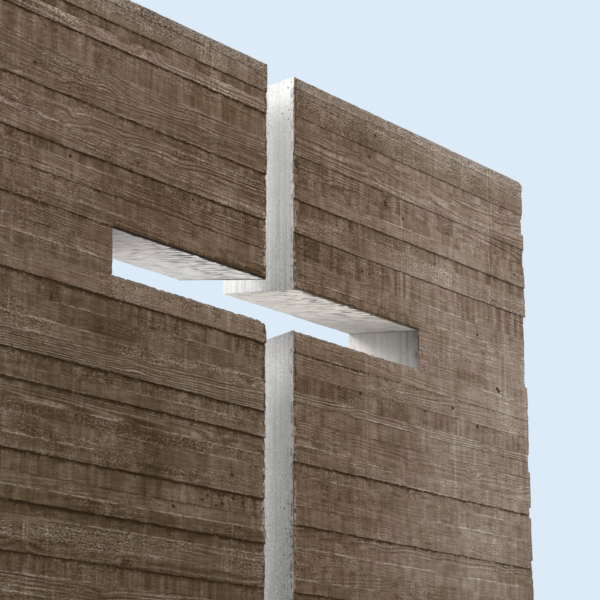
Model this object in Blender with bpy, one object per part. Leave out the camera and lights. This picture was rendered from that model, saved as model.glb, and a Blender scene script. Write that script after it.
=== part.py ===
"""A free-standing wall of board-marked concrete with a tall cross cut right through it.

The wall is cast in lifts, a left and a right half that meet in the base under the foot of the cross.
The cross is a slit, open at the top, with two arms. Every side of it splays outwards to the back,
and carries a white skim coat, modelled here as linings. Metres, +Z up, front face towards -Y,
origin at the middle of the wall's foot.
"""

import bmesh
import bpy

# The wall
HALF_WIDTH = 2.19
THICKNESS = 0.49
HEIGHT = 5.20
BASE_HEIGHT = 0.40

# The cross, measured on the front face
SLIT_HALF = 0.10
ARM_REACH = 1.13
ARM_LOW = 3.933
ARM_HIGH = 4.133

# How far each side of the cross moves outwards from the front face to the back face: the upright
# sides, the soffits and the sills
SPLAY_SIDE = 0.058
SPLAY_UP = 0.067
SPLAY_DOWN = 0.040

# White skim coat on the sides of the cross
SKIM = 0.010

# Heights of the pour joints, each on a joint between boards, from the base up
LEFT_POURS = (0.40, 1.22, 2.00, 2.71, 3.51, 4.42, 5.20)
RIGHT_POURS = (0.40, 1.22, 2.00, 2.71, 3.73, 4.415, 5.20)

# Clearance between pieces that rest on each other
GAP = 0.0003

# Colour and roughness of the two finishes
CONCRETE_BROWN = (0.168, 0.122, 0.088, 1.0)
SKIM_WHITE = (0.56, 0.56, 0.545, 1.0)
CONCRETE_ROUGHNESS = 0.85
SKIM_ROUGHNESS = 0.75


def clear_scene():
    for obj in list(bpy.data.objects):
        bpy.data.objects.remove(obj)


def make_material(name, colour, roughness):
    material = bpy.data.materials.new(name)
    material.use_nodes = True
    shader = material.node_tree.nodes["Principled BSDF"]
    shader.inputs["Base Color"].default_value = colour
    shader.inputs["Roughness"].default_value = roughness
    shader.inputs["Metallic"].default_value = 0.0
    return material


def splayed_block(name, low, high, low_splay=(0.0, 0.0), high_splay=(0.0, 0.0), finish=None):
    """A block through the full thickness of the wall.

    low and high are its (x, z) corners on the front face. The splays move those corners,
    and the sides that meet there, on the back face.
    """
    mesh = bpy.data.meshes.new(name)
    block = bmesh.new()
    bmesh.ops.create_cube(block, size=1.0)
    for vertex in block.verts:
        at_high_x = vertex.co.x > 0
        at_high_z = vertex.co.z > 0
        at_back = vertex.co.y > 0
        x = high[0] if at_high_x else low[0]
        z = high[1] if at_high_z else low[1]
        if at_back:
            x += high_splay[0] if at_high_x else low_splay[0]
            z += high_splay[1] if at_high_z else low_splay[1]
        vertex.co = (x, THICKNESS / 2 if at_back else -THICKNESS / 2, z)
    block.to_mesh(mesh)
    block.free()
    obj = bpy.data.objects.new(name, mesh)
    obj.data.materials.append(bpy.data.materials[finish])
    bpy.data.collections["cross_wall"].objects.link(obj)
    return obj


def half_block(name, side, inner, outer, bottom, top, splays=(0.0, 0.0, 0.0, 0.0), finish="board_marked_concrete"):
    """A block of the right half (side 1) or of the left half (side -1).

    inner and outer are distances from the cross's centre line. splays are how far the inner side,
    outer side, bottom and top move on the back face, the first two counted away from the centre line.
    """
    splay_in, splay_out, splay_bottom, splay_top = splays
    if side > 0:
        low, high = (inner, bottom), (outer, top)
        low_splay, high_splay = (splay_in, splay_bottom), (splay_out, splay_top)
    else:
        low, high = (-outer, bottom), (-inner, top)
        low_splay, high_splay = (-splay_out, splay_bottom), (-splay_in, splay_top)
    return splayed_block(name, low, high, low_splay, high_splay, finish)


def make_base():
    splayed_block(
        "base_pour",
        (-HALF_WIDTH, 0.0),
        (HALF_WIDTH, BASE_HEIGHT - GAP),
        finish="board_marked_concrete",
    )


def make_full_pours(label, side, pours):
    """The pours below and above the arm, which run from the slit to the wall's end."""
    slit_face = SLIT_HALF + SKIM + GAP
    below_arm = list(zip(pours[:-3], pours[1:-2]))
    above_arm = [(pours[-2], pours[-1])]
    for number, (bottom, top) in enumerate(below_arm + above_arm, start=1):
        last = number > len(below_arm)
        name = f"{label}_top_pour" if last else f"{label}_pour_{number}"
        ceiling = top if last else top - GAP
        half_block(name, side, slit_face, HALF_WIDTH, bottom, ceiling, (SPLAY_SIDE, 0, 0, 0))


def make_arm_pour(label, side, pours):
    """The pour that holds the arm: a block under it, a block over it and a block beyond its end."""
    bottom, top = pours[-3], pours[-2] - GAP
    slit_face = SLIT_HALF + SKIM + GAP
    end_face = ARM_REACH + SKIM + GAP
    half_block(
        f"{label}_arm_sill_block",
        side,
        slit_face,
        end_face - GAP,
        bottom,
        ARM_LOW - SKIM - GAP,
        (SPLAY_SIDE, SPLAY_SIDE, 0, -SPLAY_DOWN),
    )
    half_block(
        f"{label}_arm_head_block",
        side,
        slit_face,
        end_face - GAP,
        ARM_HIGH + SKIM + GAP,
        top,
        (SPLAY_SIDE, SPLAY_SIDE, SPLAY_UP, 0),
    )
    half_block(f"{label}_arm_end_block", side, end_face, HALF_WIDTH, bottom, top, (SPLAY_SIDE, 0, 0, 0))


def make_linings(label, side):
    """The skim coat of one half: the slit's side below and above the arm, and the arm's three sides."""
    white = "white_skim"
    slit_back = SLIT_HALF + SKIM
    arm_start = slit_back + GAP
    arm_back = ARM_REACH + SKIM
    both_sides = (SPLAY_SIDE, SPLAY_SIDE)
    half_block(
        f"{label}_slit_lining_lower",
        side,
        SLIT_HALF,
        slit_back,
        BASE_HEIGHT,
        ARM_LOW,
        both_sides + (0, -SPLAY_DOWN),
        white,
    )
    half_block(
        f"{label}_slit_lining_upper",
        side,
        SLIT_HALF,
        slit_back,
        ARM_HIGH,
        HEIGHT,
        both_sides + (SPLAY_UP, 0),
        white,
    )
    half_block(
        f"{label}_arm_sill_lining",
        side,
        arm_start,
        arm_back,
        ARM_LOW - SKIM,
        ARM_LOW,
        both_sides + (-SPLAY_DOWN, -SPLAY_DOWN),
        white,
    )
    half_block(
        f"{label}_arm_soffit_lining",
        side,
        arm_start,
        arm_back,
        ARM_HIGH,
        ARM_HIGH + SKIM,
        both_sides + (SPLAY_UP, SPLAY_UP),
        white,
    )
    half_block(
        f"{label}_arm_end_lining",
        side,
        ARM_REACH,
        arm_back,
        ARM_LOW + GAP,
        ARM_HIGH - GAP,
        both_sides + (-SPLAY_DOWN, SPLAY_UP),
        white,
    )


def make_slit_foot():
    """The sloping sill that closes the slit at its foot, on the base and between the two linings."""
    half = SLIT_HALF - GAP
    splayed_block(
        "slit_foot_sill",
        (-half, BASE_HEIGHT),
        (half, BASE_HEIGHT + SKIM + SPLAY_DOWN),
        (-SPLAY_SIDE, 0),
        (SPLAY_SIDE, -SPLAY_DOWN),
        finish="white_skim",
    )


clear_scene()
bpy.context.scene.collection.children.link(bpy.data.collections.new("cross_wall"))
make_material("board_marked_concrete", CONCRETE_BROWN, CONCRETE_ROUGHNESS)
make_material("white_skim", SKIM_WHITE, SKIM_ROUGHNESS)
make_base()
for half_label, half_side, half_pours in (("left", -1, LEFT_POURS), ("right", 1, RIGHT_POURS)):
    make_full_pours(half_label, half_side, half_pours)
    make_arm_pour(half_label, half_side, half_pours)
    make_linings(half_label, half_side)
make_slit_foot()
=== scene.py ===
"""Looks of the board-marked concrete wall with its cross-shaped opening.

Every block of the wall is replaced by a closed mesh that carries the imprint of rough boards: stepped
and tilted courses, grooves under their edges, chipped arrises. Every side of the cross is replaced by a
thin coat with its own marks. Fine grain, streaks and pinholes are in the materials. Metres, +Z up, front
towards -Y.
"""

import math

import bpy
import numpy as np
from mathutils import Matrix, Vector


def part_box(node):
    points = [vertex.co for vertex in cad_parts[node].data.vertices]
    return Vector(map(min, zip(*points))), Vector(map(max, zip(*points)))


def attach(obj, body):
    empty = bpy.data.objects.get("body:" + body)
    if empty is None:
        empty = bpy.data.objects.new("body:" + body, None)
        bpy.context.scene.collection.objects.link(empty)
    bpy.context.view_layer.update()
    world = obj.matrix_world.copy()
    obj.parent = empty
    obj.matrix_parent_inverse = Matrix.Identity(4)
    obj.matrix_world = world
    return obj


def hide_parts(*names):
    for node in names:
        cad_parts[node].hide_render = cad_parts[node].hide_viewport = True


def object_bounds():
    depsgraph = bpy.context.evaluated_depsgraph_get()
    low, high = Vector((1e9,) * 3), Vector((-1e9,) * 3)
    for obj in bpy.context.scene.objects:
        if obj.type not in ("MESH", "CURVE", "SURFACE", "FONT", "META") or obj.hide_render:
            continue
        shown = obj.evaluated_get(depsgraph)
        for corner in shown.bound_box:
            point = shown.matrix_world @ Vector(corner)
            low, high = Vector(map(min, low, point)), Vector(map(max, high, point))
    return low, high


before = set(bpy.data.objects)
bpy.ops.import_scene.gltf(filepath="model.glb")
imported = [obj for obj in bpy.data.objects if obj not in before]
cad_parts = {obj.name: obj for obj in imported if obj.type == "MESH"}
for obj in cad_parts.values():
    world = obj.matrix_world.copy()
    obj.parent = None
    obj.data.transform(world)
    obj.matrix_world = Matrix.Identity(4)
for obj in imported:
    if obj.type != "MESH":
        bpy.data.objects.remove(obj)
cad_low, cad_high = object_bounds()

MM = 0.001
HALF_THICKNESS = cad_high[1]
HALF_WIDTH = cad_high[0]
WALL_TOP = cad_high[2]

# Courses of boards on the front, from the top down: height of the lower edge in metres, how deep the
# board lies in millimetres, tone, strength of grain, of saw marks and of grit, then how dark and how
# light the joint under it is
LEFT_COURSES = (
    (5.147, 2.0, 0.02, 0.3, 0.1, 0.8, 0.30, 0.2),
    (5.060, 4.0, 0.02, 0.4, 0.6, 0.3, 0.80, 0.0),
    (5.008, 7.0, -0.06, 0.3, 0.8, 0.2, 0.00, 0.5),
    (4.950, 3.0, 0.08, 1.0, 0.2, 0.7, 1.00, 0.2),
    (4.816, 7.0, 0.00, 0.2, 0.7, 0.2, 0.00, 0.8),
    (4.730, 4.0, 0.01, 1.0, 0.2, 0.4, 0.15, 0.5),
    (4.645, 4.0, -0.01, 0.7, 0.3, 0.3, 1.00, 0.1),
    (4.592, 8.0, -0.03, 0.2, 0.5, 0.1, 0.00, 0.8),
    (4.510, 5.0, 0.00, 1.2, 0.1, 0.6, 0.10, 0.5),
    (4.420, 4.0, 0.02, 0.7, 0.2, 0.4, 0.90, 0.1),
    (4.364, 8.0, -0.06, 0.2, 0.9, 0.2, 0.00, 0.8),
    (4.280, 5.5, -0.01, 0.7, 0.4, 0.3, 0.65, 0.1),
    (4.197, 7.0, 0.00, 0.4, 0.4, 0.4, 0.00, 0.6),
    (4.143, 5.0, -0.03, 0.6, 0.3, 0.5, 0.80, 0.1),
    (4.050, 6.5, 0.00, 0.9, 0.2, 0.3, 0.30, 0.2),
    (3.992, 6.5, 0.00, 0.5, 0.5, 0.3, 0.10, 0.6),
    (3.923, 5.5, -0.01, 0.5, 0.4, 0.3, 0.15, 0.1),
    (3.830, 3.5, 0.03, 0.5, 0.2, 0.5, 1.00, 0.2),
    (3.742, 7.5, -0.05, 0.3, 0.9, 0.3, 0.30, 0.2),
    (3.655, 7.0, -0.01, 0.3, 0.4, 0.4, 0.00, 0.5),
    (3.600, 5.5, 0.02, 0.5, 0.3, 0.9, 0.10, 0.2),
    (3.510, 4.0, 0.02, 1.2, 0.1, 0.1, 0.95, 0.1),
    (3.450, 8.0, -0.02, 0.3, 0.6, 0.3, 0.00, 0.5),
    (3.392, 5.0, 0.00, 0.4, 0.4, 0.4, 0.95, 0.1),
    (3.311, 8.0, -0.01, 0.9, 0.3, 0.1, 0.00, 0.7),
    (3.256, 6.5, -0.04, 0.3, 0.3, 1.0, 0.00, 0.4),
    (3.170, 5.5, 0.02, 0.3, 0.4, 0.3, 0.35, 0.0),
    (3.110, 4.5, 0.00, 0.5, 0.3, 0.5, 0.90, 0.1),
    (3.023, 7.5, -0.01, 0.2, 0.7, 0.2, 0.35, 0.1),
    (2.967, 7.0, 0.02, 0.4, 0.3, 0.1, 0.00, 0.8),
    (2.910, 1.5, -0.06, 0.4, 0.3, 0.4, 1.00, 0.0),
    (2.855, 8.5, -0.05, 0.4, 0.3, 0.1, 0.00, 0.6),
    (2.770, 5.5, 0.02, 0.6, 0.2, 0.9, 0.10, 0.3),
    (2.710, 5.0, -0.03, 0.7, 0.3, 0.3, 0.85, 0.1),
    (2.630, 8.0, -0.02, 0.2, 0.9, 0.2, 0.00, 0.6),
    (2.543, 5.5, 0.00, 1.2, 0.2, 0.3, 0.10, 0.3),
    (2.480, 5.0, -0.01, 0.5, 0.4, 0.3, 0.90, 0.1),
)
RIGHT_COURSES = (
    (5.148, 2.0, -0.01, 0.2, 0.2, 0.5, 0.10, 1.2),
    (5.005, 4.0, -0.04, 0.6, 0.4, 0.3, 0.65, 0.1),
    (4.958, 7.5, 0.01, 0.2, 0.7, 0.1, 0.00, 0.3),
    (4.893, 5.5, 0.01, 0.9, 0.2, 0.1, 0.30, 0.1),
    (4.805, 4.5, 0.02, 0.9, 0.3, 0.2, 0.70, 0.1),
    (4.712, 7.5, -0.04, 0.8, 0.7, 0.3, 0.15, 0.0),
    (4.648, 6.5, 0.00, 0.3, 0.7, 0.2, 0.00, 0.25),
    (4.583, 4.0, 0.06, 0.2, 0.3, 0.1, 0.75, 0.0),
    (4.520, 8.0, -0.03, 0.2, 0.9, 0.3, 0.00, 0.3),
    (4.415, 5.0, 0.05, 0.4, 0.3, 1.0, 0.70, 0.1),
    (4.282, 8.0, -0.03, 0.4, 1.0, 0.2, 0.10, 0.15),
    (4.186, 6.0, 0.02, 0.8, 0.5, 0.2, 0.45, 0.1),
    (4.143, 6.0, 0.00, 0.4, 0.5, 0.2, 0.60, 0.0),
    (4.010, 6.5, 0.02, 0.5, 0.4, 0.3, 0.10, 0.1),
    (3.923, 6.0, 0.00, 0.5, 0.4, 0.5, 0.35, 0.1),
    (3.830, 5.0, 0.03, 0.5, 0.3, 0.3, 0.55, 0.1),
    (3.730, 5.5, 0.04, 0.7, 0.2, 0.3, 0.35, 0.4),
    (3.642, 7.0, -0.04, 0.3, 0.7, 0.4, 0.00, 0.2),
    (3.595, 5.5, 0.03, 1.5, 0.2, 0.2, 0.40, 0.1),
    (3.510, 6.5, 0.00, 0.3, 0.5, 0.2, 0.35, 0.0),
    (3.392, 6.0, 0.00, 0.6, 0.4, 0.2, 0.15, 0.1),
    (3.311, 4.5, 0.04, 0.3, 0.3, 0.5, 1.00, 0.1),
    (3.250, 8.0, 0.01, 0.2, 0.4, 0.1, 0.00, 0.4),
    (3.165, 7.0, 0.00, 0.4, 0.5, 0.2, 0.30, 0.2),
    (3.108, 6.0, 0.00, 0.4, 0.5, 0.3, 0.35, 0.0),
    (3.021, 5.0, 0.00, 0.3, 0.4, 0.3, 0.90, 0.1),
    (2.968, 8.0, -0.01, 0.8, 0.3, 0.1, 0.35, 0.3),
    (2.914, 6.5, -0.01, 0.3, 0.4, 0.2, 0.00, 0.8),
    (2.850, 6.0, 0.02, 0.4, 0.5, 0.3, 0.40, 0.0),
    (2.772, 5.5, -0.02, 0.4, 0.4, 0.4, 0.00, 0.6),
    (2.710, 4.5, -0.01, 0.3, 0.3, 0.4, 0.90, 0.1),
    (2.600, 8.0, -0.04, 0.3, 0.6, 0.4, 0.20, 0.2),
    (2.480, 5.0, -0.01, 0.6, 0.4, 0.3, 0.80, 0.1),
)

# Stretches of a board that are darker or lighter than the rest: from x to x, from z to z, tone
PATCHES = (
    (-1.37, -0.96, 3.66, 3.742, -0.09),
    (-0.70, -0.40, 3.70, 3.742, -0.05),
    (-1.75, -1.02, 3.256, 3.311, -0.04),
    (-1.70, -1.42, 2.770, 2.855, 0.07),
    (-0.55, -0.08, 4.435, 4.480, 0.06),
    (-1.60, -0.95, 4.950, 5.008, 0.03),
    (0.07, 0.16, 4.425, 4.465, 0.09),
    (0.10, 0.60, 4.282, 4.415, -0.05),
    (0.10, 0.70, 5.010, 5.140, -0.03),
    (1.65, 2.12, 5.010, 5.120, -0.05),
    (1.48, 1.75, 3.945, 4.010, -0.09),
    (0.36, 0.52, 3.650, 3.730, -0.08),
    (1.14, 1.45, 3.650, 3.730, -0.07),
    (0.10, 0.60, 3.311, 3.392, -0.02),
    (1.86, 2.12, 2.914, 2.968, -0.06),
    (1.95, 2.15, 3.170, 3.230, -0.06),
    (0.10, 0.75, 3.021, 3.108, -0.02),
    (0.15, 0.50, 2.968, 3.021, -0.05),
    (1.20, 1.50, 3.320, 3.392, 0.05),
    (-0.90, 0.20, 4.400, 4.850, -0.07),
    (-0.20, 0.95, 4.050, 5.150, -0.07),
    (-2.00, -0.05, 2.300, 3.300, -0.060),
    (-2.25, -1.15, 2.880, 3.160, 0.080),
    (1.20, 2.40, 2.900, 4.450, 0.06),
    (-0.95, -0.30, 4.150, 4.280, 0.03),
    (-0.45, 0.00, 4.140, 4.215, -0.11),
    (-1.60, -0.80, 2.750, 3.750, -0.08),
    (-1.50, -0.85, 3.600, 3.830, -0.04),
    (-0.95, -0.50, 3.050, 3.320, -0.07),
    (-0.95, -0.10, 4.800, 5.100, -0.035),
    (-2.30, -1.45, 4.150, 4.650, 0.04),
    (-1.60, -1.20, 4.200, 4.400, 0.03),
    (0.08, 0.60, 3.080, 3.400, -0.06),
    (0.08, 0.60, 3.620, 3.900, -0.04),
    (0.08, 0.55, 4.150, 4.450, -0.04),
    (0.50, 1.00, 4.800, 5.120, -0.04),
    (0.95, 1.45, 4.150, 4.650, 0.05),
    (0.85, 1.95, 2.700, 3.300, 0.09),
    (1.80, 2.40, 4.150, 5.150, -0.08),
    (0.05, 1.15, 4.143, 4.180, -0.06),
    (-1.05, -0.05, 4.190, 4.400, -0.07),
)

# Knots of the front: x, z, size
KNOTS = (
    (-1.66, 4.555, 0.016),
    (-1.52, 4.535, 0.020),
    (-1.38, 4.560, 0.012),
    (-0.93, 4.985, 0.014),
    (-1.20, 4.760, 0.020),
    (-1.05, 4.470, 0.012),
    (-0.30, 3.780, 0.012),
    (-1.62, 2.810, 0.016),
    (-1.00, 3.205, 0.012),
    (0.86, 4.760, 0.020),
    (1.36, 4.755, 0.018),
    (0.78, 3.790, 0.018),
    (0.48, 2.880, 0.022),
    (1.62, 3.450, 0.012),
    (1.86, 4.470, 0.012),
    (1.70, 3.975, 0.010),
)

# Holes of trapped air on the front: x, z
HOLES = (
    (-1.626, 4.731),
    (-1.40, 4.384),
    (-0.62, 4.392),
    (-0.72, 3.000),
    (-0.533, 3.050),
    (-0.497, 3.074),
    (-0.443, 3.036),
    (-0.420, 3.084),
    (-0.400, 3.051),
    (-0.393, 3.088),
    (-0.325, 3.083),
    (-0.262, 3.069),
    (-0.333, 3.187),
    (-0.99, 4.462),
    (0.855, 4.744),
    (0.862, 4.738),
    (0.858, 4.751),
    (1.010, 4.700),
    (0.270, 4.698),
    (0.770, 5.086),
    (0.720, 4.958),
    (0.845, 4.895),
    (0.655, 4.342),
    (0.715, 4.342),
    (1.180, 3.720),
    (1.435, 3.780),
    (0.630, 3.718),
    (1.890, 3.946),
    (1.870, 3.958),
    (1.690, 4.220),
    (2.080, 4.640),
    (1.670, 3.716),
)

# The butt end of a board on the left half: x, upper edge of its course, and how far the board beyond it
# lies back
BUTT_X = -1.67
BUTT_COURSE_TOP = 2.967
BUTT_RECESS = 6.5 * MM

# How far the wall's ends lie back from its full width at some heights: from z to z, in millimetres
END_STEPS = (
    (4.893, 4.985, 15),
    (4.700, 4.790, 7),
    (4.015, 4.415, 19),
    (3.545, 3.640, 15),
    (3.295, 3.352, 18),
    (3.020, 3.065, 16),
)

# The course on the right half whose growth rings run straight along it: lower edge, how many board
# widths off its middle the pith lies, width of a ring
STRAIGHT_GRAINED = 3.595
STRAIGHT_PITH = 1.9
STRAIGHT_RING = 7.2 * MM

# The worn corner of the left sill: x, z
WORN_CORNER = (-0.105, 3.925)

# Mesh steps: beside a board joint, then between rows and columns of the front and of the back. The rows
# of the front's lower part, past the photograph's edge, lie further apart
FINE_STEP = 3.0 * MM
ROW_STEP = 5.0 * MM
LOWER_ROW_STEP = 11.0 * MM
COLUMN_STEP = 12.0 * MM
BACK_ROW_STEP = 16.0 * MM
BACK_COLUMN_STEP = 28.0 * MM

# Mesh steps along a coat and through it
COAT_STEP = 6.5 * MM
COAT_DEPTH_STEP = 16.0 * MM

# Mesh steps along the loops between front and back: at a free end, along the top, and where pieces meet
END_STEP = 24.0 * MM
TOP_STEP = 26.0 * MM
WIDE_STEP = 200.0 * MM

# Edges of the base's courses under its top
BASE_JOINTS = (0.0, 0.145, 0.275)

# Boards that nobody has seen: least and most width, the longest stretch that is left as it is or
# halved, and the least height of a course under the first one seen
FILLER_WIDTHS = (0.10, 0.19)
FILLER_REST = 0.26
LEAST_COURSE = 50.0 * MM

# On the back, only a pour joint may lie closer than this to an arm of the cross
ARM_CLEARANCE = 45.0 * MM

# Chance knots: how far apart they lie, and how far each course's are shifted, in those spacings
KNOT_SPACING = 0.55
KNOT_SHIFT = 0.41

# A hole of trapped air: its radius where the dark starts and where the dark is full
HOLE_RIM = 10.5 * MM
HOLE_CORE = 6.2 * MM

# Width of the boards that marked the soffits and sills
SOFFIT_BOARD = 0.13

# Seeds of the random draws: one for each section of the wall, and the first of the coats'
SECTION_SEEDS = {"left": 101, "right": 202, "base": 303}
FIRST_COAT_SEED = 11

# Half the slit's width on the front
SLIT_HALF_WIDTH = round(-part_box("left_slit_lining_lower")[1][0], 4)

# The height under which the front is out of the photograph, so that its mesh is coarser
DETAIL_FLOOR = 2.5

# Half the step between two courses, and how far from front to back each loop of points lies, as a share
LIP = 0.6 * MM
LOOP_SHARES = (0.02, 0.05, 0.1, 0.2, 0.3, 0.4, 0.5, 0.6, 0.7, 0.8, 0.9, 0.95, 0.98)

# A coat with its clearance, how many growth rings make one ridge, and from which angle an edge is sharp
COAT_THICKNESS = 10.3 * MM
RIDGE_PERIOD = 1.7
SHARP_ANGLE = math.radians(38)

# The least and the most depth of the relief, so that it stays inside the solid
SHALLOWEST = 0.2 * MM
DEEPEST = 24 * MM

# Farther than any hole, joint or arris
FAR = 9.0

# What the materials read at every point of a mesh. A coat reads light as how warm its white is, knot as
# how airy it is and grit as how speckled
LOOK_NAMES = (
    "ring",
    "dirt_and_shade",
    "light",
    "tone",
    "grain",
    "saw",
    "board_seed",
    "knot",
    "grit",
    "hole_across",
    "hole_upright",
)
DIRT_AND_SHADE = LOOK_NAMES.index("dirt_and_shade")
LIGHT = LOOK_NAMES.index("light")
TONE = LOOK_NAMES.index("tone")
GRAIN = LOOK_NAMES.index("grain")
SAW = LOOK_NAMES.index("saw")

# The sides of a block, in the order of its border
BOTTOM, RIGHT, TOP, LEFT = range(4)

# The sides of each section's blocks that are free ends of the wall
FREE_ENDS = {"left": (LEFT,), "right": (RIGHT,), "base": (RIGHT, LEFT)}


def scatter(i, j, seed):
    """Random numbers from 0 to 1, one for each pair of whole numbers."""
    n = (i * 374761393 + j * 668265263 + seed * 974634777) & 0xFFFFFFFF
    n = ((n ^ (n >> 13)) * 1274126177) & 0xFFFFFFFF
    return ((n ^ (n >> 16)) & 0xFFFF) / 65535.0


def noise(u, v, seed):
    """Smooth noise from 0 to 1 over the plane, with one lattice cell to each unit."""
    u, v = np.broadcast_arrays(np.asarray(u, float), np.asarray(v, float))
    i = np.floor(u).astype(np.int64)
    j = np.floor(v).astype(np.int64)
    fu = u - i
    fv = v - j
    fu = fu * fu * (3 - 2 * fu)
    fv = fv * fv * (3 - 2 * fv)
    low = scatter(i, j, seed) * (1 - fu) + scatter(i + 1, j, seed) * fu
    high = scatter(i, j + 1, seed) * (1 - fu) + scatter(i + 1, j + 1, seed) * fu
    return low * (1 - fv) + high * fv


def rough(u, v, seed, octaves=3):
    """Noise from -1 to 1 with finer noise on top of it."""
    total = 0.0
    size = 1.0
    for octave in range(octaves):
        total = total + size * (2 * noise(u * 2**octave, v * 2**octave, seed + 17 * octave) - 1)
        size *= 0.5
    return total / 1.75


def ramp(value, low, high):
    """0 below low, 1 above high, smooth between them."""
    share = np.clip((value - low) / (high - low), 0, 1)
    return share * share * (3 - 2 * share)


def graded(start, end, fine, coarse, growth=1.4):
    """Places from start to end, close together at both ends."""
    half = (end - start) / 2
    steps = [0.0]
    step = fine
    while steps[-1] + step < half:
        steps.append(steps[-1] + step)
        step = min(step * growth, coarse)
    left = np.array(steps)
    if half - left[-1] < 0.5 * fine:
        left = left[:-1]
    return np.concatenate([start + left, [start + half], (end - left)[::-1]])


def stacked_looks(values, shape):
    """The looks of a grid of points as one array. A look that isn't given is 0."""
    return np.stack([np.broadcast_to(values.get(name, 0.0), shape) for name in LOOK_NAMES], axis=-1)


def corners_of(node):
    """The front and the back outline of a block, each as lowest x, highest x, lowest z, highest z."""
    points = np.array([v.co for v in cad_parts[node].data.vertices], float)
    outlines = []
    for face in (points[points[:, 1] < 0], points[points[:, 1] > 0]):
        outlines.append((face[:, 0].min(), face[:, 0].max(), face[:, 2].min(), face[:, 2].max()))
    return outlines


class Courses:
    """The courses of boards on one face of one section of the wall, from the bottom up."""

    def __init__(self, edges, seed, known=()):
        draw = np.random.default_rng(seed)
        self.edges = np.array(edges)
        count = len(edges) - 1
        self.seed = seed
        proud = np.arange(count) % 2 == 0
        self.depth = np.where(proud, draw.uniform(2.5, 5.0, count), draw.uniform(6.0, 8.5, count))
        self.tone = draw.uniform(-0.04, 0.04, count)
        self.grain = draw.uniform(0.2, 1.1, count)
        self.saw = draw.uniform(0.2, 0.9, count)
        self.grit = draw.uniform(0.1, 0.5, count)
        self.dark = np.where(proud, draw.uniform(0.6, 1.0, count), draw.uniform(0.0, 0.3, count))
        self.light = np.where(proud, 0.1, draw.uniform(0.2, 0.8, count))
        for course, row in zip(range(count - 1, -1, -1), known):
            values = (self.depth, self.tone, self.grain, self.saw, self.grit, self.dark, self.light)
            for array, value in zip(values, row[1:]):
                array[course] = value
        self.tilt = draw.uniform(-1.2, 1.2, count)
        self.end = draw.uniform(0.0, 1.0, count) ** 1.5
        self.ring = draw.uniform(5.5, 7.5, count) * MM
        self.pith = draw.choice((-1, 1), count) * draw.uniform(0.3, 0.8, count)
        self.sagitta = draw.uniform(0.04, 0.12, count)
        self.taper = draw.uniform(-0.03, 0.03, count)
        if known is RIGHT_COURSES:
            course = int(np.argmin(np.abs(self.edges - STRAIGHT_GRAINED)))
            self.pith[course] = STRAIGHT_PITH
            self.ring[course] = STRAIGHT_RING


def filler_edges(low, high, seed):
    """Lower edges of courses that nobody has seen, between two given heights."""
    draw = np.random.default_rng(seed)
    edges = [low]
    while high - edges[-1] > FILLER_REST:
        edges.append(edges[-1] + draw.uniform(*FILLER_WIDTHS))
    if high - edges[-1] > FILLER_WIDTHS[1]:
        edges.append((edges[-1] + high) / 2)
    return edges


def joint_path(x, height, seed, straight):
    """How far a board joint strays from its height along the wall."""
    if height in straight:
        return np.zeros_like(x)
    key = int(round(height * 1000)) + seed
    stray = 2.2 * MM * rough(x * 1.3, key * 0.37, 5)
    stray = stray + 1.0 * MM * rough(x * 14, key * 0.61, 6)
    return stray + 2.0 * MM * (2 * noise(x * 55, key * 0.83, 7) - 1)


def joint_strength(x, height, strength):
    """A joint's strength along the wall: a strong one goes on, a weak one comes and goes."""
    gap = ramp(noise(x * 1.4, height * 31, 8), 0.75 - strength, 1.05 - strength)
    return strength * gap * (0.75 + 0.25 * noise(x * 13, height * 17, 9))


def ring_phase(x, z, course, courses):
    """Counts the growth rings that the saw cut through, over one face."""
    bottom = courses.edges[course]
    width = courses.edges[course + 1] - bottom
    middle = bottom + width * (0.5 + courses.pith[course])
    shift = courses.seed + course * 7.3
    sweep = 0.022 * (2 * noise(x * 0.8, shift, 21) - 1)
    depth = courses.sagitta[course] + courses.taper[course] * x
    depth = depth + 0.016 * (2 * noise(x * 1.2, shift + 3.1, 22) - 1)
    radius = np.sqrt((z - middle - sweep) ** 2 * 1.4 + depth**2)
    phase = radius / courses.ring[course]
    phase = phase + 0.5 * rough(x * 5, z * 40 + shift, 23)
    return phase + knots(x, z, course, courses)[0]


def patch_tone(x, z):
    """Tone added by the darker and lighter stretches of boards."""
    tone = np.zeros_like(x)
    shifted = x + 0.035 * rough(x * 3, z * 45, 36)
    for x_low, x_high, z_low, z_high, amount in PATCHES:
        edge = 0.012 + 0.02 * noise(x * 8, z * 60, 35) + 0.4 * max(x_high - x_low - 0.5, 0)
        inside = ramp(np.minimum(shifted - x_low, x_high - shifted), -edge, edge)
        fade = 0.006 + 0.4 * max(z_high - z_low - 0.15, 0)
        inside = inside * ramp(np.minimum(z - z_low, z_high - z), -0.003, fade)
        tone += amount * inside * (0.6 + 0.7 * noise(x * 14, z * 50, 37))
    return tone


def given_knots(x, z):
    """The swell and the hearts of the listed knots."""
    swell = np.zeros_like(x)
    heart = np.zeros_like(x)
    for knot_x, knot_z, size in KNOTS:
        across = (z - knot_z) / size
        near = ((x - knot_x) / size) ** 2
        swell += 3.2 * np.exp(-(near / 18.0 + across**2 / 3.0))
        heart += np.exp(-(near * 1.5 + (across * 1.6) ** 2))
    return swell, np.minimum(heart, 1.0)


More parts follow.
